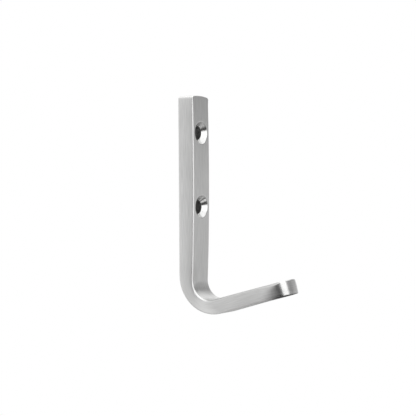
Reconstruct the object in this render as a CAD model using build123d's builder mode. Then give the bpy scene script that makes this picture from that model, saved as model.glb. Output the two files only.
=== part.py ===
"""A utility wall hook: one stainless steel bar, bent to a J and drilled for two countersunk screws.

The origin lies on the wall, midway between the two screws. The wall is the XZ plane, +Z is up and
the hook reaches out from the wall along -Y. The side view is drawn on Plane.left, where x is the
distance out from the wall and y is the height.
"""

import math
import os

from build123d import *

# Plate, in millimetres
bar_width = 10.0
plate_thickness = 6.25  # at the crest of the front face, level with the middle of the screws
front_crown_radius = 1000.0  # the front face bows out very slightly between its two ends
screw_spacing = 25.0
top_margin = 12.5  # from the upper screw to the top end
top_crown_radius = 31.0  # the top end is a shallow arc across the bar

# Bend and arm, in millimetres and degrees
throat_depth = 37.4  # from the middle of the screws down to the centre of the inner bend
inner_bend_radius = 6.0
outer_bend_radius = 12.8
bend_thickness = 4.6  # under the bend, where the bar is drawn thin
arm_rise = 16.0  # of the arm's middle line above level
arm_taper = 1.0  # between the arm's underside and its top
reach = 42.0  # from the wall to the lower corner of the tip
tip_flat = 0.8  # left between the two roundings of the tip

# Screw holes
screw_hole_diameter = 4.5
countersink_diameter = 7.8
countersink_angle = 90.0

# Eased edges
edge_radius = 0.5
top_corner_radius = 0.8

# The top end and the two arms of the outline
top_height = screw_spacing / 2 + top_margin
stock_height = top_height + edge_radius
underside_rise = arm_rise + arm_taper / 2
topside_rise = arm_rise - arm_taper / 2

# The inner bend touches the crowned front face, so the centres of their circles and the point
# where they touch lie on one line, which leans by this angle
crown_centre = plate_thickness - front_crown_radius
centre_distance = front_crown_radius + inner_bend_radius
lean = math.asin(throat_depth / centre_distance)
inner_centre = (crown_centre + centre_distance * math.cos(lean), -throat_depth)
stock_lean = math.asin(stock_height / front_crown_radius)

# The outer bend touches the wall and lies one bend thickness below the inner one
bottom_height = -throat_depth - inner_bend_radius - bend_thickness
outer_centre = (outer_bend_radius, bottom_height + outer_bend_radius)

with BuildPart() as hook:
    # Side view: the plate, the bend and the tapered arm
    with BuildSketch(Plane.left):
        with BuildLine():
            back = Line((0, stock_height), (0, outer_centre[1]))
            outer_bend = CenterArc(outer_centre, outer_bend_radius, 180, 90 + underside_rise)
            run = reach - (outer_bend @ 1).X
            underside = Line(outer_bend @ 1, outer_bend @ 1 + (run, run * math.tan(math.radians(underside_rise))))
            inner_bend = CenterArc(
                inner_centre,
                inner_bend_radius,
                180 - math.degrees(lean),
                90 + math.degrees(lean) + topside_rise,
            )
            topside = PolarLine(inner_bend @ 1, reach, topside_rise, mode=Mode.PRIVATE)
            square_to_arm = Vector(1, 0).rotate(Axis.Z, 90 + arm_rise)
            tip = IntersectingLine(underside @ 1, square_to_arm, topside)
            Line(tip @ 1, inner_bend @ 1)
            front = CenterArc(
                (crown_centre, 0),
                front_crown_radius,
                -math.degrees(lean),
                math.degrees(lean + stock_lean),
            )
            Line(front @ 1, back @ 0)
        make_face()
    extrude(amount=bar_width / 2, both=True)

    # The top end is cut to its arc, and its two corners are rounded
    with BuildSketch(Plane.front):
        with Locations((0, top_height - top_crown_radius)):
            Rectangle(2 * bar_width, 2 * top_crown_radius, align=(Align.CENTER, Align.MIN))
            Circle(top_crown_radius, mode=Mode.SUBTRACT)
    extrude(amount=reach, both=True, mode=Mode.SUBTRACT)
    fillet(hook.edges().filter_by(Axis.Y).group_by(Axis.Z)[-1], top_corner_radius)

    # The tip is rounded across the bar
    tip_face = hook.faces().sort_by(Axis.Y)[0]
    fillet(tip_face.edges().filter_by(Axis.X, reverse=True), (bar_width - tip_flat) / 2)

    # Every remaining edge is eased
    fillet(hook.faces().filter_by(Axis.X).edges(), edge_radius)

    # Two countersunk screw holes, one above the other
    with Locations(Plane.front.offset(plate_thickness)):
        with GridLocations(bar_width, screw_spacing, 1, 2):
            CounterSinkHole(
                radius=screw_hole_diameter / 2,
                counter_sink_radius=countersink_diameter / 2,
                counter_sink_angle=countersink_angle,
            )

hook.part.label = "wall_hook"

os.makedirs("parts", exist_ok=True)
export_step(hook.part, "parts/wall_hook.step")
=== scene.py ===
# %% [markdown]
# # A utility wall hook in satin stainless steel
#
# The real hook is one flat bar of stainless steel, bent to a J, drilled and countersunk for two screws,
# eased along its edges and brushed along its length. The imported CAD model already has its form, but its mesh
# is loose triangles with no sense of which way the brush ran. So this lesson makes the same form again as
# smooth numpy surfaces that carry a grain map, finishes it as brushed steel, and sets up a small studio round
# it. The bar is worked out in millimetres, and becomes metres where its mesh is made.

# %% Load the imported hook
import math

import bpy
import numpy as np
from mathutils import Matrix, Vector


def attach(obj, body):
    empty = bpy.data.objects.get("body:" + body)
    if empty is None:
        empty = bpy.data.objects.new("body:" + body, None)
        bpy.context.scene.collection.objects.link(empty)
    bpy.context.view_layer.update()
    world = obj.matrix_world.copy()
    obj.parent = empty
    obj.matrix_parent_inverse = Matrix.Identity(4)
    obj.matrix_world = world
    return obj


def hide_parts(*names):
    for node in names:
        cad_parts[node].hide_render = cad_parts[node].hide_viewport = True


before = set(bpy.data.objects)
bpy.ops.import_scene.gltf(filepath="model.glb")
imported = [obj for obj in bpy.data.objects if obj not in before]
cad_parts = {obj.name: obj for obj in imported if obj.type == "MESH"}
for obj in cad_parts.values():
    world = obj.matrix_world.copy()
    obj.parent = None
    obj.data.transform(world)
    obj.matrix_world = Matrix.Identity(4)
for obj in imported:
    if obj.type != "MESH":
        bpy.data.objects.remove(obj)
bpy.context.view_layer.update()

# %% [markdown]
# ## The side view of the bar
#
# Seen from the side, the bar has two contours. The back contour lies on the wall, turns through the outer
# bend and runs up the underside of the arm. The front contour is the slightly bowed front face, the inner
# bend and the top of the arm. One thickness swept along one middle line can't give both, because the bar
# is drawn thinner in the bend and tapers along the arm. So each contour is its own chain of arcs and
# straight lines, and a place s along the bar picks one point on each.

# %% Sizes of the bar, in millimetres and degrees
bar_width = 10.0
plate_thickness = 6.25
front_crown_radius = 1000.0
top_height = 25.0
throat_depth = 37.4
inner_bend_radius = 6.0
outer_bend_radius = 12.8
bend_thickness = 4.6
arm_rise = 16.0
arm_taper = 1.0
reach = 42.0

lean = math.asin(throat_depth / (front_crown_radius + inner_bend_radius))
crown_centre = plate_thickness - front_crown_radius
inner_centre = (crown_centre + (front_crown_radius + inner_bend_radius) * math.cos(lean), -throat_depth)
bottom_height = -throat_depth - inner_bend_radius - bend_thickness
outer_centre = (outer_bend_radius, bottom_height + outer_bend_radius)
underside_rise = math.radians(arm_rise + arm_taper / 2)
topside_rise = math.radians(arm_rise - arm_taper / 2)
print("Inner bend centre:", np.round(inner_centre, 3), "outer bend centre:", np.round(outer_centre, 3))


# %% Back and front contours, by the distance run along them from the top
def ray(angle):
    """Unit vector at an angle: (cos, sin)."""
    return np.stack([np.cos(angle), np.sin(angle)], -1)


back_bend_start = top_height - outer_centre[1]
back_bend_end = back_bend_start + outer_bend_radius * (math.pi / 2 + underside_rise)
front_bend_start = top_height + throat_depth - inner_bend_radius * math.sin(lean)
front_bend_end = front_bend_start + inner_bend_radius * (math.pi / 2 + lean + topside_rise)


def back_contour(run):
    """Points and outward normals of the back: down the wall, round the outer bend, along the underside.

    The normal's angle is 180 degrees plus the arc run over its radius, held before and after the bend.
    The point is the bend's centre plus the radius along the normal, plus the straight run before it
    (upwards) or after it (along the arm).
    """
    turn = np.clip((run - back_bend_start) / outer_bend_radius, 0, math.pi / 2 + underside_rise)
    normal = ray(math.pi + turn)
    before = np.maximum(back_bend_start - run, 0)[..., None] * np.array([0.0, 1.0])
    after = np.maximum(run - back_bend_end, 0)[..., None] * ray(np.array(underside_rise))
    return np.array(outer_centre) + outer_bend_radius * normal + before + after, normal


def front_contour(run):
    """Points and outward normals of the front: down the bowed face, round the inner bend, up the arm.

    On the face the normal's angle is asin(height / crown radius), and the point lies one crown radius out
    from the crown's centre. In the bend the normal points at the bend's centre, one radius away.
    """
    height = np.maximum(top_height - run, top_height - front_bend_start)
    turn = np.clip((run - front_bend_start) / inner_bend_radius, 0, math.pi / 2 + lean + topside_rise)
    normal = ray(np.where(run < front_bend_start, np.arcsin(height / front_crown_radius), turn - lean))
    face = np.array([crown_centre, 0.0]) + front_crown_radius * normal
    bend = np.array(inner_centre) - inner_bend_radius * normal
    after = np.maximum(run - front_bend_end, 0)[..., None] * ray(np.array(topside_rise))
    return np.where((run < front_bend_start)[..., None], face, bend + after), normal


print("Bend runs: back %.1f to %.1f mm" % (back_bend_start, back_bend_end), end=", ")
print("front %.1f to %.1f mm" % (front_bend_start, front_bend_end))

# %% [markdown]
# ## Places along the bar
#
# The two contours have different lengths, so a place s is paired with a run along each by a few knots: level
# with each other down the plate, fanned evenly through the bend, and square to the arm again at its end.
# Between knots the pairing is straight interpolation, and s is the mean of the two runs.

# %% Pair the two contours
arm_direction = ray(np.array(math.radians(arm_rise)))
taper = math.radians(arm_taper / 2)
underside_start = back_contour(np.array(back_bend_end))[0]
topside_start = front_contour(np.array(front_bend_end))[0]
back_tip = back_bend_end + (reach - underside_start[0]) / math.cos(underside_rise)
tip_plane = back_contour(np.array(back_tip))[0] @ arm_direction
front_tip = front_bend_end + (tip_plane - topside_start @ arm_direction) / math.cos(taper)

level_run = 45.0
square_length = 12.0
square_arm = square_length / math.cos(taper)
back_knots = np.array([0, level_run, back_bend_start, back_bend_end, back_tip - square_arm, back_tip])
front_knots = np.array([0, level_run, front_bend_start, front_bend_end, front_tip - square_arm, front_tip])
place_knots = (back_knots + front_knots) / 2
bend_start = place_knots[2]
bend_end = place_knots[3]
bar_length = place_knots[-1]
print("The bar is %.2f mm long at its middle, bent from %.2f to %.2f" % (bar_length, bend_start, bend_end))

# %% [markdown]
# ## Points of the steel
#
# A place s, a distance x across and a depth under the surface give any point of the steel. Bending and
# grinding leave small changes along the bar, such as an underside that is a little fuller near the tip. They
# come and go softly, so one smooth rise serves for all of them.

# %% Points of the back and the front
tip_fullness = 0.14
fuller_from = bar_length - 14.0
fuller_to = bar_length - 3.0


def rise(s, start, end):
    """0 up to start, 1 from end on, and t * t * (3 - 2 t) between, with t = (s - start) / (end - start)."""
    t = np.clip((s - start) / (end - start), 0, 1)
    return t * t * (3 - 2 * t)


def fall(s, start, end):
    """1 up to start and 0 from end on, by the same curve."""
    return 1 - rise(s, start, end)


def on_back(s, x, depth=0.0):
    """The point of the bar's back at place s and distance x across, sunk into the steel by depth."""
    point, normal = back_contour(np.interp(s, place_knots, back_knots))
    depth = depth - tip_fullness * rise(s, fuller_from, fuller_to)
    point = point - normal * np.asarray(depth)[..., None]
    return np.stack([x + 0 * s, -point[..., 0], point[..., 1]], -1)


def on_front(s, x, depth=0.0):
    """The point of the bar's front at place s and distance x across, sunk into the steel by depth."""
    point, normal = front_contour(np.interp(s, place_knots, front_knots))
    point = point - normal * np.asarray(depth)[..., None]
    return np.stack([x + 0 * s, -point[..., 0], point[..., 1]], -1)


print("The underside grows fuller from place %.1f to %.1f" % (fuller_from, fuller_to))

# %% [markdown]
# ## The outline of the bar, rolled out flat
#
# Rolled out flat, the bar is a long strip. Its top end is a shallow arc with two small rounded corners. Its
# tip is rounded all across, with a long shallow arc leading into a tight one, as a belt grinder leaves it.
# The lead-in turns further at the back than at the front, as from a slightly tilted belt. A small setback
# keeps the tip inside the solid's box. Every curve is an arc, so each point also knows its outward normal,
# and the eased edges can later step inwards along it. A bevel modifier would round the edges too, but a
# formula keeps the grain map running straight through them.

# %% Ends of the outline
top_crown_radius = 31.0
top_corner_radius = 1.0
nose_flat = 0.8
nose_setback = 0.045
nose_end = bar_length - nose_setback
lead_radius = 54.0
front_lead = math.radians(3.0)
back_lead = math.radians(6.5)
lead_steps = 5
round_steps = 14


def top_end():
    """The top end from left to right: a corner arc, the crown's arc and a corner arc.

    Each point is its arc's centre plus the radius along its normal, at angle psi from straight up.
    Rows of the result: place, distance across, and the two parts of the normal.
    """
    corner_x = bar_width / 2 - top_corner_radius
    corner_s = top_crown_radius - math.sqrt((top_crown_radius - top_corner_radius) ** 2 - corner_x**2)
    corner_turn = math.asin(corner_x / (top_crown_radius - top_corner_radius))
    psi = np.concatenate([
        np.linspace(-math.pi / 2, -corner_turn, 9)[:-1],
        np.linspace(-corner_turn, corner_turn, 25),
        np.linspace(corner_turn, math.pi / 2, 9)[1:],
    ])
    crown = np.abs(psi) < corner_turn + 1e-9
    radius = np.where(crown, top_crown_radius, top_corner_radius)
    s = np.where(crown, top_crown_radius, corner_s) - radius * np.cos(psi)
    x = np.where(crown, 0, np.sign(psi) * corner_x) + radius * np.sin(psi)
    return np.stack([s, x, -np.cos(psi), np.sin(psi)])


def nose(lead):
    """The tip from right to left: a long lead-in arc, a tight arc, a short flat, and the same mirrored.

    psi is the normal's angle from the arm's direction. The tight arc's radius follows from the width:
    lead radius * (1 - cos lead) + radius * cos lead = half width - half flat. The lead-in's centre lies
    further back along the normal where the two arcs meet, by the difference of their radii.
    """
    half = bar_width / 2 - nose_flat / 2
    tight = (half - lead_radius * (1 - math.cos(lead))) / math.cos(lead)
    side = math.pi / 2
    lead_psi = np.linspace(side, side - lead, lead_steps + 1)[:-1]
    psi = np.concatenate([lead_psi, np.linspace(side - lead, 0, round_steps + 1)])
    in_lead = np.arange(len(psi)) < lead_steps
    radius = np.where(in_lead, lead_radius, tight)
    further = np.where(in_lead, lead_radius - tight, 0)
    s = nose_end - tight - further * math.sin(lead) + radius * np.cos(psi)
    x = nose_flat / 2 - further * math.cos(lead) + radius * np.sin(psi)
    right = np.stack([s, x, np.cos(psi), np.sin(psi)])
    middle = np.array([[nose_end], [0.0], [1.0], [0.0]])
    left = right[:, ::-1] * np.array([[1], [-1], [1], [-1]])
    return np.concatenate([right, middle, left], 1)


top_points = top_end()
front_nose = nose(front_lead)
back_nose = nose(back_lead)
nose_start = back_nose[0, 0]
print("Top end and nose: %d points each, nose from place %.2f" % (top_points.shape[1], nose_start))

# %% [markdown]
# ## The whole outline
#
# Between the two ends, both sides of the strip have the same stations. They lie close together beside the
# screw holes and round the bend, and further apart where the bar is straight, because even steps fine enough
# for the bend would waste faces on the plate. The front and the back outline differ only in the nose.

# %% Stations and outlines
screw_places = np.array([12.5, 37.5])
hole_reach = 5.3
first_station = 2.6
nose_gap = 0.6

stations = np.concatenate([
    np.linspace(first_station, screw_places[0] - hole_reach, 4)[:-1],
    np.linspace(screw_places[0] - hole_reach, screw_places[0] + hole_reach, 17),
    np.linspace(screw_places[0] + hole_reach, screw_places[1] - hole_reach, 13)[1:-1],
    np.linspace(screw_places[1] - hole_reach, screw_places[1] + hole_reach, 17),
    np.linspace(screw_places[1] + hole_reach, bend_start, 14)[1:-1],
    np.linspace(bend_start, bend_end, 49),
    np.linspace(bend_end, nose_start - nose_gap, 20)[1:],
])
right_side = np.stack([stations, 0 * stations + bar_width / 2, 0 * stations, 0 * stations + 1])
left_side = right_side[:, ::-1] * np.array([[1], [-1], [1], [-1]])
front_rim = np.concatenate([top_points, right_side, front_nose, left_side, top_points[:, :1]], 1)
back_rim = np.concatenate([top_points, right_side, back_nose, left_side, top_points[:, :1]], 1)
print("The outline has %d points, %d along each side" % (front_rim.shape[1] - 1, len(stations)))

# %% [markdown]
# ## Collecting patches
#
# The skin is made of a few grids of points. Each grid brings its own grain map: u runs across the brush
# lines and v along them, both in millimetres. Neighbouring grids share their border points, so the points
# are merged at the end, while the grain map stays with each grid's own face corners. Simple bodies cut from
# each other would take fewer lines, but the cuts would tear the map. The edge band, the back and the holes
# lie apart from the front on the map, so that they don't show the same lines.

# %% A place to put patches
patches = []
band_offset = 20.0
back_offset = 40.0
hole_offset = 60.0
row_offset = 50.0


def grid_cells(rows, columns):
    """The four corners of each cell of a grid, taken round the cell."""
    corner = np.arange(rows * columns).reshape(rows, columns)
    cells = [corner[:-1, :-1], corner[:-1, 1:], corner[1:, 1:], corner[1:, :-1]]
    return np.stack(cells, -1).reshape(-1, 4)


def add_patch(points, across, along, finish=0, flip=False):
    """Keeps a grid of points (rows, columns, 3) with its grain map, its finish and its faces.

    The faces' corners run the other way round where flip is true.
    """
    rows, columns = points.shape[:2]
    faces = grid_cells(rows, columns)
    faces = faces[:, ::-1] if flip else faces
    grain = np.stack(np.broadcast_arrays(across, along), -1)
    grain = np.broadcast_to(grain, (rows, columns, 2))
    patches.append((points.reshape(-1, 3), faces, grain.reshape(-1, 2), np.full(len(faces), finish)))


print("Offsets on the grain map, mm:", band_offset, back_offset, hole_offset)

# %% [markdown]
# ## The edge band
#
# The sides, the top end and the rounded tip are one wall that runs right round the outline, with an eased
# edge at the front and at the back. Belt brushing leaves such a wall very slightly fuller in the middle, and
# that soft swell is what makes its reflection fade from one edge to the other. The back edge is a plain
# round, crisper at the tip. The front edge is a soft chamfer, as a file and then the brush leave it. It is
# wider where the bend squeezed the steel and on the shoulder before the tip, and crisper at both ends.

# %% Radii of the edges
edge_radius = 0.5
bend_ease = 0.16
shoulder_ease = 0.4
front_tip_ease = -0.15
back_tip_ease = -0.25
top_ease = -0.28


def front_edge(s):
    """Radius of the front edge at place s: rounder in the bend and on the shoulder, crisper at both ends."""
    bend = rise(s, bend_start - 12, bend_start + 2) * fall(s, bend_end - 1, bend_end + 8)
    shoulder = rise(s, bar_length - 12, bar_length - 7) * fall(s, bar_length - 4.5, bar_length - 1.5)
    tip = rise(s, bar_length - 4.5, bar_length - 1.5)
    top = fall(s, 0.8, 2.4)
    eased = bend_ease * bend + shoulder_ease * shoulder
    return edge_radius + eased + front_tip_ease * tip + top_ease * top


def back_edge(s):
    """Radius of the back edge at place s: crisper at the tip."""
    return edge_radius + back_tip_ease * rise(s, nose_start - 2, nose_start + 6)


widest = front_edge(stations).max()
print("Front edge radius: %.2f to %.2f mm along the sides" % (front_edge(stations).min(), widest))

# %% Band round the outline
wall_swell = 0.06
edge_hold = 0.06
front_tight = 0.65
back_tight = 1.0
legs_per_round = 1.3
near_edge = 0.012
wall_grain = (1.0, 6.0)
grain_end = 7.0


def face_border(outline, edge):
    """The border of a face: the outline stepped inwards past the swell and the eased edge."""
    s, x, normal_s, normal_x = outline
    inset = wall_swell + edge(s) + edge_hold
    return s - inset * normal_s, x - inset * normal_x


def eased_corner(tight):
    """A square corner of size 1 eased by three arcs, which turn through 35, 20 and 35 degrees.

    The outer two have the radius tight. The middle one is longer, so that the three reach from side to
    side: tight * (sin 35 + 1 - sin 55) + long * (sin 55 - sin 35) = 1. With tight = 1 it is a plain round.
    Each step along an arc adds the radius times the change of sin a or cos a. Returns the distances left
    to the wall and gone from the face.
    """
    first, middle, last = np.linspace(0, 35, 6), np.linspace(35, 55, 7), np.linspace(55, 90, 6)
    a = np.radians(np.concatenate([first, middle[1:], last[1:]]))
    wide = np.sin(a[11]) - np.sin(a[5])
    radius = np.full(len(a) - 1, tight)
    radius[5:11] = (1 - tight * (1 - wide)) / wide
    inset = 1 - np.concatenate([[0.0], np.cumsum(radius * np.diff(np.sin(a)))])
    depth = np.concatenate([[0.0], np.cumsum(radius * -np.diff(np.cos(a)))])
    return inset[:, None], depth[:, None]


def half_band(outline, edge, tight):
    """Insets, depths and grain of one eased edge, from the face's border to the wall.

    The run round the corner is its two legs together over 1.3, which is close to the length of the round.
    """
    r = edge(outline[0])[None]
    corner_inset, corner_depth = eased_corner(tight)
    inset = np.concatenate([wall_swell + r + edge_hold, wall_swell + r * corner_inset])
    depth = np.concatenate([0 * r, r * corner_depth])
    legs = (1 + corner_depth - corner_inset)[:, 0]
    grain_across = np.concatenate([[0.0], edge_hold + edge_radius * legs / legs_per_round])
    return inset, depth, grain_across


def edge_band():
    """Points (profile, outline) of the band and their grain across.

    Each outline is stepped inwards by the inset and sunk by the depth. The wall between the two edges is
    the straight mix front + part * (back - front), and swells by swell * (1 - (2 part - 1) ** 2). Across
    the grain, the band runs from 0 to grain_end, and its wall over the part wall_grain.
    """
    front_inset, front_depth, front_grain = half_band(front_rim, front_edge, front_tight)
    back_inset, back_depth, back_grain = half_band(back_rim, back_edge, back_tight)
    part = np.concatenate([[near_edge], np.linspace(0, 1, 13)[1:-1], [1 - near_edge]])[:, None]
    wall_inset = wall_swell * (2 * part - 1) ** 2 + 0 * front_rim[0]
    wall_depth = (1 - part) * front_depth[-1] + part * back_depth[-1]
    inset = np.concatenate([front_inset, wall_inset, back_inset[::-1]])
    depth = np.concatenate([front_depth, wall_depth, back_depth[::-1]])
    mix = np.concatenate([0 * front_inset, part + 0 * front_rim[0], 0 * back_inset + 1])[..., None]
    front = on_front(front_rim[0] - inset * front_rim[2], front_rim[1] - inset * front_rim[3], depth)
    back = on_back(back_rim[0] - inset * back_rim[2], back_rim[1] - inset * back_rim[3], depth)
    on_wall = wall_grain[0] + (wall_grain[1] - wall_grain[0]) * part[:, 0]
    across = np.concatenate([front_grain, on_wall, grain_end - back_grain[::-1]])
    return (1 - mix) * front + mix * back, across


band, band_grain = edge_band()
around = np.concatenate([[0.0], np.cumsum(np.hypot(*np.diff(front_rim[:2])))])
add_patch(band, band_grain[:, None] + band_offset, around[None, :])
print("Edge band:", band.shape[:2], "points, %.1f mm round" % around[-1])

# %% [markdown]
# ## Front and back faces
#
# Inside the eased edges, each face is a plain grid: rows across the bar, from the top end's arc to the tip's
# round. The rows that would cross a screw hole are left out, and a ring of faces joins that square opening
# to the round hole, so no face is cut and no sliver is left. Bending a bar squeezes the steel on the inside
# of the bend, which then stands out a little in the middle of the bar.

# %% Rows across the faces
bulge_radius = 38.0


def face_rows(tip, edge):
    """Places and distances across for a face: the top end's arc, straight rows, and the tip's round."""
    top_s, top_x = face_border(top_points, edge)
    tip_s, tip_x = face_border(tip[:, ::-1], edge)
    side_x = face_border(right_side, edge)[1]
    across = np.linspace(-1, 1, len(top_s))
    s = np.concatenate([top_s[None], stations[:, None] + 0 * across, tip_s[None]])
    x = np.concatenate([top_x[None], side_x[:, None] * across, tip_x[None]])
    return s, x


def inner_bulge(s, x):
    """How far the squeezed steel stands out in the inner bend: (border * border - x * x) / (2 * radius)."""
    border = np.max(np.abs(x), axis=-1, keepdims=True)
    in_bend = rise(s, bend_start - 1, bend_start + 3) * fall(s, bend_end - 3, bend_end + 1)
    return in_bend * (border**2 - x**2) / (2 * bulge_radius)


front_s, front_x = face_rows(front_nose, front_edge)
back_s, back_x = face_rows(back_nose, back_edge)
hole_first = [1 + int(np.argmin(np.abs(stations - (p - hole_reach)))) for p in screw_places]
hole_last = [1 + int(np.argmin(np.abs(stations - (p + hole_reach)))) for p in screw_places]
for first, last in zip([0, *hole_last], [*hole_first, len(front_s) - 1]):
    rows = slice(first, last + 1)
    bulge = inner_bulge(front_s[rows], front_x[rows])
    add_patch(on_front(front_s[rows], front_x[rows], -bulge), front_x[rows], front_s[rows], flip=True)
    add_patch(on_back(back_s[rows], back_x[rows]), back_x[rows] + back_offset, back_s[rows])
print("Faces:", front_s.shape, "points each, rows left out:", list(zip(hole_first, hole_last)))

# %% [markdown]
# ## Countersunk screw holes
#
# A drill left a straight bore and a countersink left a 90 degree cone, both turned, so their fine lines run
# round the hole. The foot of the cone and the back of the bore are each broken by a tiny round, too small to
# see as a shape, that catches the light as a thin line. The rim was brushed with the face, so its round is
# larger. A cone and a cylinder could be cut out of the bar, but rings carried down the hole keep the turned
# lines on their map.

# %% Sizes and profile of a hole
hole_radius = 2.25
sink_radius = 3.9
rim_ease = 0.45
tiny_round = 0.12
half_turn = math.tan(math.pi / 8)


def hole_profile(rim, face):
    """Radii and distances from the wall down one hole, for a rim radius and face distance at each angle.

    Rim and foot are arcs between the face, the cone (distance = radius + constant) and the bore. The back
    edge is a quarter arc.
    """
    turn = np.linspace(0, math.pi / 4, 7)[1:, None]
    rim_r = rim + rim_ease * (half_turn - np.sin(turn))
    rim_d = face - rim_ease * (1 - np.cos(turn))
    foot_turn = np.linspace(math.pi / 4, 0, 5)[:, None] + 0 * rim
    foot_r = hole_radius + tiny_round * (1 - np.cos(foot_turn))
    foot_d = plate_thickness - (sink_radius - hole_radius) - tiny_round * (half_turn - np.sin(foot_turn))
    step = np.linspace(0, 1, 9)[1:-1, None]
    cone_r = rim_r[-1] + step * (foot_r[0] - rim_r[-1])
    cone_d = rim_d[-1] + step * (foot_d[0] - rim_d[-1])
    bore_d = np.linspace(1, 0, 8)[1:-1, None] * (foot_d[-1] - tiny_round) + tiny_round
    back_turn = np.linspace(0, math.pi / 2, 5)[:-1, None] + 0 * rim
    back_r = hole_radius + tiny_round * (1 - np.cos(back_turn))
    back_d = tiny_round * (1 - np.sin(back_turn))
    radius = np.concatenate([rim_r, cone_r, foot_r, 0 * bore_d + hole_radius + 0 * rim, back_r])
    distance = np.concatenate([rim_d, cone_d, foot_d, bore_d + 0 * rim, back_d])
    return radius, distance


print("Holes: %.1f mm bore, %.1f mm countersink" % (2 * hole_radius, 2 * sink_radius))


# %% Rings through each hole
def ring_border(grid, first, last):
    """The values of a face's grid round the square opening, clockwise from its top left and closed."""
    down = grid[first + 1 : last]
    return np.concatenate([grid[first], down[:, -1], grid[last, ::-1], down[::-1, 0], grid[first, :1]])


def screw_hole(place, first, last):
    """One hole as three grids: a ring on the front, the turned wall, and a ring on the back.

    The cone meets the bowed face where rim = sink radius - (plate thickness - face). The face's distance
    depends on the rim in turn, so the two are worked out three times over. Each ring is the mix
    border + part * (rim - border).
    """
    border_s = ring_border(front_s, first, last)
    border_x = ring_border(front_x, first, last)
    angle = np.arctan2(border_x, place - border_s)
    rim = np.full_like(angle, sink_radius)
    for _ in range(3):
        face = -on_front(place - rim * np.cos(angle), 0 * angle)[..., 1]
        rim = sink_radius - (plate_thickness - face)
    mix = np.linspace(0, 1, 7)[:, None] ** 0.8
    sink_r = rim + rim_ease * half_turn
    sink_s = (1 - mix) * border_s + mix * (place - sink_r * np.cos(angle))
    sink_x = (1 - mix) * border_x + mix * sink_r * np.sin(angle)
    bore_r = hole_radius + tiny_round
    bore_s = ((1 - mix) * border_s + mix * (place - bore_r * np.cos(angle)))[::-1]
    bore_x = ((1 - mix) * border_x + mix * bore_r * np.sin(angle))[::-1]
    front = on_front(sink_s, sink_x)
    back = on_back(bore_s, bore_x)
    radius, distance = hole_profile(rim, face)
    height = top_height - place + radius * np.cos(angle)
    wall = np.stack([radius * np.sin(angle), -distance, height], -1)
    wall = np.concatenate([front[-1:], wall, back[:1]])
    add_patch(front, sink_x, sink_s, flip=True)
    add_patch(back, bore_x + back_offset, bore_s, flip=True)
    down = np.concatenate([[0.0], np.cumsum(np.linalg.norm(np.diff(wall[:, 0], axis=0), axis=1))])
    unrolled = np.unwrap(angle) * sink_radius
    add_patch(wall, down[:, None] + hole_offset, unrolled[None] + row_offset * first, finish=1, flip=True)
    return wall.shape[:2]


for place, first, last in zip(screw_places, hole_first, hole_last):
    print("Screw hole at place", place, "wall grid", screw_hole(place, first, last))

# %% [markdown]
# ## One welded skin
#
# The patches become one mesh, because the real bar has no seams. Blender can merge points by distance, but
# here numpy does it before the mesh is made: points that agree to a hundred-thousandth of a millimetre are
# one. The count of open edges must then be zero, and the volume close to the solid's.

# %% Weld the patches and make the mesh
starts = np.cumsum([0] + [len(p[0]) for p in patches])
loose = np.concatenate([p[0] for p in patches])
loose_faces = np.concatenate([p[1] + start for p, start in zip(patches, starts)])
grain = np.concatenate([p[2] for p in patches])[loose_faces.ravel()]
finish = np.concatenate([p[3] for p in patches])
_, kept, merged = np.unique(np.round(loose, 5), axis=0, return_index=True, return_inverse=True)
points = loose[kept]
faces = merged.ravel()[loose_faces]

mesh = bpy.data.meshes.new("steel_hook")
mesh.from_pydata((points / 1000).tolist(), [], faces.tolist())
mesh.polygons.foreach_set("use_smooth", np.ones(len(faces), bool))
mesh.polygons.foreach_set("material_index", finish.astype(np.int32))
grain_map = mesh.uv_layers.new(name="grain")
grain_map.uv.foreach_set("vector", grain.astype(np.float32).ravel())
mesh.update()
hook = bpy.data.objects.new("steel_hook", mesh)
bpy.context.scene.collection.objects.link(hook)

edges = np.sort(np.stack([faces, np.roll(faces, -1, 1)], -1).reshape(-1, 2), 1)
uses = np.unique(edges, axis=0, return_counts=True)[1]
a, b, c, d = (points[faces[:, i]] for i in range(4))
volume = (np.einsum("ij,ij->i", a, np.cross(b, c)) + np.einsum("ij,ij->i", a, np.cross(c, d))).sum() / 6
print("Skin: %d points, %d faces" % (len(points), len(faces)), end=", ")
print("%d open edges, %.0f mm3" % ((uses != 2).sum(), volume))

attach(hook, "root")
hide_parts("wall_hook")

# %% [markdown]
# ## Brush lines
#
# Satin steel is covered in fine, nearly parallel scratches. They are far too many to model, and a picture of
# scratches would show where it repeats. So they are a noise stretched along the grain map: quick across the
# lines and slow along them. The flats and the turned holes both use it, each with its own spacing, so it is
# one node group.

# %% Node group for brush lines
fine_lines = (1.0, 0.12, 0.4)
middle_lines = (0.5, 0.16, 0.46)
broad_lines = (0.12, 0.07, 0.14)
cloud_scale = (0.35, 0.12, 1.0)


def link(tree, source, target):
    tree.links.new(source, target)


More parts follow.
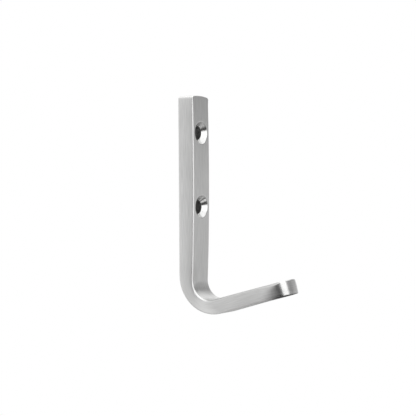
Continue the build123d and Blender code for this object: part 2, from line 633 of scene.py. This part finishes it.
def make_brush_lines():
    """Lines = three stretched noises added, fine to broad; Bloom = a slow cloud, for uneven brushing.

    Each noise has its share of the lines per mm across the grain, its own scale along it, and its weight.
    """
    tree = bpy.data.node_groups.new("brush lines", "ShaderNodeTree")
    tree.interface.new_socket("Grain", in_out="INPUT", socket_type="NodeSocketVector")
    tree.interface.new_socket("Lines per mm", in_out="INPUT", socket_type="NodeSocketFloat")
    tree.interface.new_socket("Lines", in_out="OUTPUT", socket_type="NodeSocketFloat")
    tree.interface.new_socket("Bloom", in_out="OUTPUT", socket_type="NodeSocketFloat")
    given = tree.nodes.new("NodeGroupInput")
    result = tree.nodes.new("NodeGroupOutput")
    total = None
    for share, along, weight in (fine_lines, middle_lines, broad_lines):
        spacing = tree.nodes.new("ShaderNodeMath")
        spacing.operation = "MULTIPLY"
        spacing.inputs[1].default_value = share
        scale = tree.nodes.new("ShaderNodeCombineXYZ")
        scale.inputs["Y"].default_value = along
        stretched = tree.nodes.new("ShaderNodeVectorMath")
        stretched.operation = "MULTIPLY"
        noise = tree.nodes.new("ShaderNodeTexNoise")
        noise.noise_dimensions = "2D"
        noise.inputs["Scale"].default_value = 1.0
        noise.inputs["Detail"].default_value = 2.0
        noise.inputs["Roughness"].default_value = 0.6
        sum_up = tree.nodes.new("ShaderNodeMath")
        sum_up.operation = "MULTIPLY_ADD"
        sum_up.inputs[1].default_value = weight
        sum_up.inputs[2].default_value = 0.0
        link(tree, given.outputs["Lines per mm"], spacing.inputs[0])
        link(tree, spacing.outputs[0], scale.inputs["X"])
        link(tree, given.outputs["Grain"], stretched.inputs[0])
        link(tree, scale.outputs[0], stretched.inputs[1])
        link(tree, stretched.outputs[0], noise.inputs["Vector"])
        link(tree, noise.outputs[0], sum_up.inputs[0])
        if total is not None:
            link(tree, total, sum_up.inputs[2])
        total = sum_up.outputs[0]
    link(tree, total, result.inputs["Lines"])
    slow = tree.nodes.new("ShaderNodeVectorMath")
    slow.operation = "MULTIPLY"
    slow.inputs[1].default_value = cloud_scale
    cloud = tree.nodes.new("ShaderNodeTexNoise")
    cloud.noise_dimensions = "2D"
    cloud.inputs["Scale"].default_value = 1.0
    cloud.inputs["Detail"].default_value = 2.0
    link(tree, given.outputs["Grain"], slow.inputs[0])
    link(tree, slow.outputs[0], cloud.inputs["Vector"])
    link(tree, cloud.outputs[0], result.inputs["Bloom"])
    return tree


brush_lines = make_brush_lines()
print("Brush lines group:", len(brush_lines.nodes), "nodes")

# %% [markdown]
# ## Satin steel and turned steel
#
# Light leaves brushed steel stretched across the lines and sharp along them, where a plain rough metal would
# spread it evenly, like cast metal. The Principled shader does this with its anisotropy, which follows the
# tangent of the grain map's u. The lines then vary the colour and the roughness a little, and lift the
# surface by a few thousandths of a millimetre.

# %% Materials
line_lift = 0.01
lift_strength = 0.3
bloom = 0.02


def ranged(tree, source, low, high):
    """A Map Range from the middle of a noise's spread to low..high."""
    node = tree.nodes.new("ShaderNodeMapRange")
    node.inputs["From Min"].default_value = 0.25
    node.inputs["From Max"].default_value = 0.75
    node.inputs["To Min"].default_value = low
    node.inputs["To Max"].default_value = high
    link(tree, source, node.inputs["Value"])
    return node.outputs["Result"]


def make_steel(name, lines_per_mm, dark, light, smooth, rough, anisotropy):
    """Metal whose brush lines run along v of the grain map and whose highlights stretch along u.

    Its colour runs from dark to light and its roughness from smooth to rough, by the lines.
    """
    steel = bpy.data.materials.new(name)
    steel.use_nodes = True
    tree = steel.node_tree
    shader = tree.nodes["Principled BSDF"]
    shader.inputs["Metallic"].default_value = 1.0
    shader.inputs["Anisotropic"].default_value = anisotropy
    grain_at = tree.nodes.new("ShaderNodeUVMap")
    grain_at.uv_map = "grain"
    lines = tree.nodes.new("ShaderNodeGroup")
    lines.node_tree = brush_lines
    lines.inputs["Lines per mm"].default_value = lines_per_mm
    link(tree, grain_at.outputs["UV"], lines.inputs["Grain"])
    tone = tree.nodes.new("ShaderNodeMix")
    tone.data_type = "RGBA"
    tone.inputs["A"].default_value = (*dark, 1)
    tone.inputs["B"].default_value = (*light, 1)
    link(tree, ranged(tree, lines.outputs["Lines"], 0.0, 1.0), tone.inputs["Factor"])
    link(tree, tone.outputs["Result"], shader.inputs["Base Color"])
    spread = tree.nodes.new("ShaderNodeMath")
    spread.operation = "ADD"
    link(tree, ranged(tree, lines.outputs["Lines"], smooth, rough), spread.inputs[0])
    link(tree, ranged(tree, lines.outputs["Bloom"], -bloom, bloom), spread.inputs[1])
    link(tree, spread.outputs[0], shader.inputs["Roughness"])
    across = tree.nodes.new("ShaderNodeTangent")
    across.direction_type = "UV_MAP"
    across.uv_map = "grain"
    link(tree, across.outputs["Tangent"], shader.inputs["Tangent"])
    bump = tree.nodes.new("ShaderNodeBump")
    bump.inputs["Strength"].default_value = lift_strength
    bump.inputs["Distance"].default_value = line_lift / 1000
    link(tree, lines.outputs["Lines"], bump.inputs["Height"])
    link(tree, bump.outputs["Normal"], shader.inputs["Normal"])
    return steel


satin_steel = make_steel(
    "satin_brushed_steel",
    lines_per_mm=5.0,
    dark=(0.55, 0.55, 0.545),
    light=(0.75, 0.75, 0.745),
    smooth=0.3,
    rough=0.38,
    anisotropy=0.75,
)
turned_steel = make_steel(
    "turned_steel",
    lines_per_mm=7.0,
    dark=(0.61, 0.61, 0.605),
    light=(0.75, 0.75, 0.745),
    smooth=0.2,
    rough=0.27,
    anisotropy=0.6,
)
mesh.materials.append(satin_steel)
mesh.materials.append(turned_steel)
print("Finishes:", [m.name for m in mesh.materials])

# %% [markdown]
# ## The white room
#
# Steel has hardly any colour of its own: it shows the room. A picture of a studio could stand for the room,
# but a plain white one can be dressed piece by piece. It is white for the camera, for reflections and for
# what is seen through something, and dimmer where it lights the matt floor.

# %% World
room_light = 0.6
scene = bpy.context.scene
scene.view_settings.view_transform = "Standard"
world = bpy.data.worlds.new("white room")
scene.world = world
world.use_nodes = True
sky = world.node_tree
sky.nodes.clear()


def seen_share(tree):
    """1 for camera rays, reflections and rays through clear things, and 0 for rays that light a surface."""
    path = tree.nodes.new("ShaderNodeLightPath")
    camera_or_gloss = tree.nodes.new("ShaderNodeMath")
    camera_or_gloss.operation = "MAXIMUM"
    or_clear = tree.nodes.new("ShaderNodeMath")
    or_clear.operation = "MAXIMUM"
    link(tree, path.outputs["Is Camera Ray"], camera_or_gloss.inputs[0])
    link(tree, path.outputs["Is Glossy Ray"], camera_or_gloss.inputs[1])
    link(tree, camera_or_gloss.outputs[0], or_clear.inputs[0])
    link(tree, path.outputs["Is Transmission Ray"], or_clear.inputs[1])
    return or_clear.outputs[0]


seen = sky.nodes.new("ShaderNodeBackground")
seen.inputs["Color"].default_value = (1, 1, 1, 1)
seen.inputs["Strength"].default_value = 1.0
cast = sky.nodes.new("ShaderNodeBackground")
cast.inputs["Color"].default_value = (1, 1, 1, 1)
cast.inputs["Strength"].default_value = room_light
either = sky.nodes.new("ShaderNodeMixShader")
room = sky.nodes.new("ShaderNodeOutputWorld")
link(sky, seen_share(sky), either.inputs["Fac"])
link(sky, cast.outputs[0], either.inputs[1])
link(sky, seen.outputs[0], either.inputs[2])
link(sky, either.outputs[0], room.inputs["Surface"])
print("World:", world.name, "with", len(sky.nodes), "nodes")

# %% [markdown]
# ## Boards round the hook
#
# A photographer of steel places boards where the metal should turn dark, called flags, and white cards where
# it should turn bright. Flat boards would do, but a patch of a ball round the hook is equally far away all
# over, and each of its edges lies at one bearing or one height. Only reflections see the boards, so they
# hide nothing from any side. A direction is given as a bearing, in degrees from -X towards -Y, and a height
# above level. The camera stands at bearing 33, just above level.


# %% How a board is made
def toward(bearing, height):
    """Unit vector at a bearing from -X towards -Y and a height above level, in degrees."""
    b = np.radians(bearing)
    h = np.radians(height)
    return np.stack(np.broadcast_arrays(-np.cos(b) * np.cos(h), -np.sin(b) * np.cos(h), np.sin(h)), -1)


hook_middle = np.array([0.0, -0.018, -0.012])
board_distance = 0.48
board_columns = 61
board_rows = 41


def only_in_reflections(thing):
    """Puts a thing on the stage that only reflections see, so the camera doesn't and no shadow shows it."""
    scene.collection.objects.link(thing)
    thing.visible_camera = False
    thing.visible_diffuse = False
    thing.visible_shadow = False
    thing.visible_transmission = False
    return thing


def grey_attribute(panel, name, grey):
    """Keeps a grey for each point of a mesh, as a colour attribute."""
    colour = np.repeat(grey[..., None], 4, -1)
    panel.color_attributes.new(name, "FLOAT_COLOR", "POINT").data.foreach_set("color", colour.ravel())


def board(name, bearings, heights, shade):
    """A patch of a ball round the hook between two bearings and two heights, which glows in its own grey.

    shade(b, h) gives its grey at each bearing and height, where 1 is as bright as the white room.
    """
    b, h = np.meshgrid(np.linspace(*bearings, board_columns), np.linspace(*heights, board_rows))
    place = hook_middle + board_distance * toward(b, h)
    panel = bpy.data.meshes.new(name)
    panel.from_pydata(place.reshape(-1, 3).tolist(), [], grid_cells(*b.shape).tolist())
    grey_attribute(panel, "shade", shade(b, h))
    paint = bpy.data.materials.new(name)
    paint.use_nodes = True
    paint.node_tree.nodes.clear()
    read = paint.node_tree.nodes.new("ShaderNodeVertexColor")
    read.layer_name = "shade"
    glow = paint.node_tree.nodes.new("ShaderNodeEmission")
    end = paint.node_tree.nodes.new("ShaderNodeOutputMaterial")
    link(paint.node_tree, read.outputs["Color"], glow.inputs["Color"])
    link(paint.node_tree, glow.outputs[0], end.inputs["Surface"])
    panel.materials.append(paint)
    return only_in_reflections(bpy.data.objects.new(name, panel))


print("Boards stand %.0f mm from the hook's middle" % (1000 * board_distance))


# %% Greys of the boards
def flag_shade(b, h):
    """Dark beside the camera, fading to white at the flag's left edge and at its top."""
    dark = np.interp(b, [-29.5, -24, -18, -9, 26], [0.0, 0.5, 0.93, 1.0, 1.0])
    return 1 - dark * np.interp(h, [-60, 6, 15, 26], [1.0, 1.0, 0.5, 0.0])


def right_shade(b, h):
    """Mid grey round level, darker above and below, with a dark strip by the softbox, brighter far behind."""
    strips = np.interp(
        b,
        [76, 88, 112, 126, 140, 150, 176, 190, 195],
        [1.0, 0.8, 0.75, 0.93, 1.17, 1.1, 1.12, 1.8, 2.3],
    )
    falls = np.interp(
        h,
        [-50, -26, -10, 2, 6, 10, 20, 34, 43],
        [0.37, 0.39, 0.64, 0.66, 0.54, 0.43, 0.32, 0.34, 0.6],
    )
    return strips * falls


def lower_shade(b, h):
    """Dark all over."""
    return 0.05 + 0 * b


def cloth_shade(b, h):
    """Dark in front of the hook, paler towards both sides."""
    return np.interp(b, [-25, -12, 190, 205], [0.25, 0.03, 0.03, 0.3]) + 0 * h


def card_shade(b, h):
    """Dark at its near end and mid grey beyond."""
    return np.interp(b, [195, 203, 206, 235], [0.02, 0.03, 0.62, 0.7]) + 0 * h


def left_shade(b, h):
    """White, brightest just below level, and half as bright low down, away from the flag."""
    white = np.interp(
        h,
        [-62, -40, -20, -8, -2, 10, 30, 40, 60],
        [0.95, 1.0, 1.15, 1.42, 1.17, 1.05, 0.98, 1.05, 1.12],
    )
    low = np.interp(h, [-45, -32, -16, -6], [0.0, 1.0, 1.0, 0.0])
    return white * (1 - low * np.interp(b, [-75, -48, -38], [0.5, 0.5, 0.0]))


def high_shade(b, h):
    """Bright all over."""
    return 1.4 + 0 * b


boards = [
    board("flag left of the camera", (-33, 26), (-60, 26), flag_shade),
    board("grey board on the right", (76, 195), (-50, 43), right_shade),
    board("dark board below the softbox", (26, 76), (-60, -18), lower_shade),
    board("dark cloth below the hook", (-25, 205), (-88, -60), cloth_shade),
    board("grey card low on the right", (195, 235), (-50, -4), card_shade),
    board("white card on the left", (-75, -33), (-62, 57), left_shade),
    board("white card behind on the left", (-125, -75), (-62, 62), left_shade),
    board("white card high on the right", (76, 185), (43, 75), high_shade),
]
print("Boards:", [thing.name for thing in boards])

# %% [markdown]
# ## Black cards at the tip
#
# A far board shows all along the arm. Only something close can darken the tip's underside alone, so a small
# black card lies below the tip and another stands beside it.

# %% Two small cards
black = bpy.data.materials.new("black card")
black.use_nodes = True
black.node_tree.nodes["Principled BSDF"].inputs["Base Color"].default_value = (0.02, 0.02, 0.02, 1)


def small_card(name, corner, first, second):
    """A flat card close to the hook, in millimetres: corner, + first, + first + second, + second."""
    corners = np.array(corner) + np.array([(0, 0, 0), first, np.add(first, second), second])
    panel = bpy.data.meshes.new(name)
    panel.from_pydata((corners / 1000).tolist(), [], [(0, 1, 2, 3)])
    panel.materials.append(black)
    return only_in_reflections(bpy.data.objects.new(name, panel))


below = small_card("black card below the tip", (-11, -38, -61), (37, 0, 0), (0, 8, 0))
beside = small_card("black card beside the tip", (12, -37, -61), (0, 10, 0), (0, 0, 24))
print("Small cards:", [below.name, beside.name])

# %% [markdown]
# ## Softboxes
#
# Two large soft lamps light the hook. One stands right of the camera, and makes the bright bands on the tip
# and in the countersinks. One hangs overhead, a little behind the plate, and makes the bright edges at the
# top end and in the bend. They are lamps and not glowing boards, because lamps also light the floor and give
# the hook its shadow there.


# %% Two softboxes
def softbox(name, bearing, height, away, size, level):
    """A rectangular lamp facing the hook, in metres.

    Its power is level * pi * area, so a reflection of it is brighter than the white room behind it by level.
    """
    lamp = bpy.data.lights.new(name, "AREA")
    lamp.shape = "RECTANGLE"
    lamp.size, lamp.size_y = size
    lamp.energy = level * math.pi * size[0] * size[1]
    thing = bpy.data.objects.new(name, lamp)
    place = Vector(toward(bearing, height) * away)
    thing.location = place
    thing.rotation_euler = (-place).to_track_quat("-Z", "Y").to_euler()
    thing.visible_camera = False
    scene.collection.objects.link(thing)
    return thing


key = softbox("key softbox", bearing=48, height=31, away=1.2, size=(1.3, 2.4), level=0.68)
top = softbox("top softbox", bearing=-90, height=76, away=0.6, size=(0.7, 0.7), level=1.1)
print("Softboxes:", [thing.name for thing in (key, top)])

# %% [markdown]
# ## Floor
#
# The floor is plain and pale, well below the hook, which hangs on a wall in use. In the main picture it
# lies just under the frame. From above, it takes the hook's soft shadow. Towards its rim it fades to the
# white of the room, as a paper sweep does, so that no edge of it shows behind the hook.

# %% Disc of the floor
floor_height = -0.5
floor_radius = 1.4
fade_from = 0.35
fade_to = 1.25


def floor_disc():
    """Points of a flat disc: (r cos t, r sin t) on a grid of radius and angle."""
    r = np.linspace(0.001, floor_radius, 29)[:, None]
    t = np.linspace(0, 2 * math.pi, 97)[None, :]
    return np.stack(np.broadcast_arrays(r * np.cos(t), r * np.sin(t), floor_height), -1)


disc = floor_disc()
floor_mesh = bpy.data.meshes.new("floor")
floor_mesh.from_pydata(disc.reshape(-1, 3).tolist(), [], grid_cells(*disc.shape[:2])[:, ::-1].tolist())
floor = bpy.data.objects.new("floor", floor_mesh)
scene.collection.objects.link(floor)
grey_attribute(floor_mesh, "fade", rise(np.linalg.norm(disc[..., :2], axis=-1), fade_from, fade_to))
print("Floor: %.0f mm below the origin" % (-1000 * floor_height))

# %% Paper of the floor
pale = bpy.data.materials.new("pale floor")
pale.use_nodes = True
paper = pale.node_tree
paper_shader = paper.nodes["Principled BSDF"]
paper_shader.inputs["Base Color"].default_value = (0.85, 0.85, 0.85, 1)
paper_shader.inputs["Roughness"].default_value = 0.9
paper_fade = paper.nodes.new("ShaderNodeVertexColor")
paper_fade.layer_name = "fade"
paper_share = paper.nodes.new("ShaderNodeMath")
paper_share.operation = "MULTIPLY"
paper_white = paper.nodes.new("ShaderNodeEmission")
paper_mix = paper.nodes.new("ShaderNodeMixShader")
link(paper, seen_share(paper), paper_share.inputs[0])
link(paper, paper_fade.outputs["Color"], paper_share.inputs[1])
link(paper, paper_share.outputs[0], paper_mix.inputs["Fac"])
link(paper, paper_shader.outputs[0], paper_mix.inputs[1])
link(paper, paper_white.outputs[0], paper_mix.inputs[2])
link(paper, paper_mix.outputs[0], paper.nodes["Material Output"].inputs["Surface"])
floor_mesh.materials.append(pale)
print("Floor material:", pale.name, "with", len(paper.nodes), "nodes")

# %% [markdown]
# ## The wall behind the screw holes
#
# A hook like this lies flat on something, so no light comes up its bores from behind. A whole wall would do
# that, but would hide the hook from behind. So two dark discs just behind the plate stand for it. The camera
# doesn't see them, and from behind the holes still look open.

# %% Dark discs behind the bores
behind = 0.02
shadow = bpy.data.materials.new("wall in shadow")
shadow.use_nodes = True
shadow_shader = shadow.node_tree.nodes["Principled BSDF"]
shadow_shader.inputs["Base Color"].default_value = (0.145, 0.145, 0.145, 1)
shadow_shader.inputs["Specular IOR Level"].default_value = 0.0


def bore_stop(place):
    """A flat disc a little wider than the bore: centre + radius * (cos t, sin t)."""
    t = np.linspace(0, 2 * math.pi, 49)[:-1]
    radius = hole_radius + tiny_round
    ring = np.stack([radius * np.cos(t), 0 * t + behind, top_height - place + radius * np.sin(t)], -1) / 1000
    stop_mesh = bpy.data.meshes.new("bore stop")
    stop_mesh.from_pydata(ring.tolist(), [], [list(range(len(t)))])
    stop = bpy.data.objects.new("bore stop", stop_mesh)
    scene.collection.objects.link(stop)
    stop_mesh.materials.append(shadow)
    stop.visible_camera = False
    stop.visible_shadow = False
    return stop


print("Bore stops:", [bore_stop(place).name for place in screw_places])

# %% [markdown]
# ## Camera
#
# The camera stands where the photograph was taken: at the hook's left front, level with it. It could be set
# by eye, but a pixel is only a third of a millimetre, so its direction, height, roll and focal length were
# solved from the hook's outline and its two holes.

# %% Camera
image_size = 416
focal_pixels = 1011.5
camera_distance = 0.340
camera_target = Vector((0.0, -0.0086709, -0.0128742))
camera_azimuth = math.radians(57.2097)
camera_elevation = math.radians(0.4673)
camera_roll = math.radians(-0.3547)

camera_back = Vector((
    -math.sin(camera_azimuth) * math.cos(camera_elevation),
    -math.cos(camera_azimuth) * math.cos(camera_elevation),
    math.sin(camera_elevation),
))
level_right = (-camera_back).cross(Vector((0, 0, 1))).normalized()
level_up = level_right.cross(-camera_back)
camera_right = math.cos(camera_roll) * level_right + math.sin(camera_roll) * level_up
camera_up = -math.sin(camera_roll) * level_right + math.cos(camera_roll) * level_up

lens = bpy.data.cameras.new("camera")
lens.sensor_width = 36.0
lens.lens = focal_pixels * lens.sensor_width / image_size
lens.clip_start = 0.01
camera = bpy.data.objects.new("camera", lens)
scene.collection.objects.link(camera)
turned = Matrix((camera_right, camera_up, camera_back)).transposed().to_4x4()
camera.matrix_world = Matrix.Translation(camera_target + camera_distance * camera_back) @ turned
scene.camera = camera
print("Camera: %.1f mm lens at %s" % (lens.lens, [round(c, 4) for c in camera.location]))
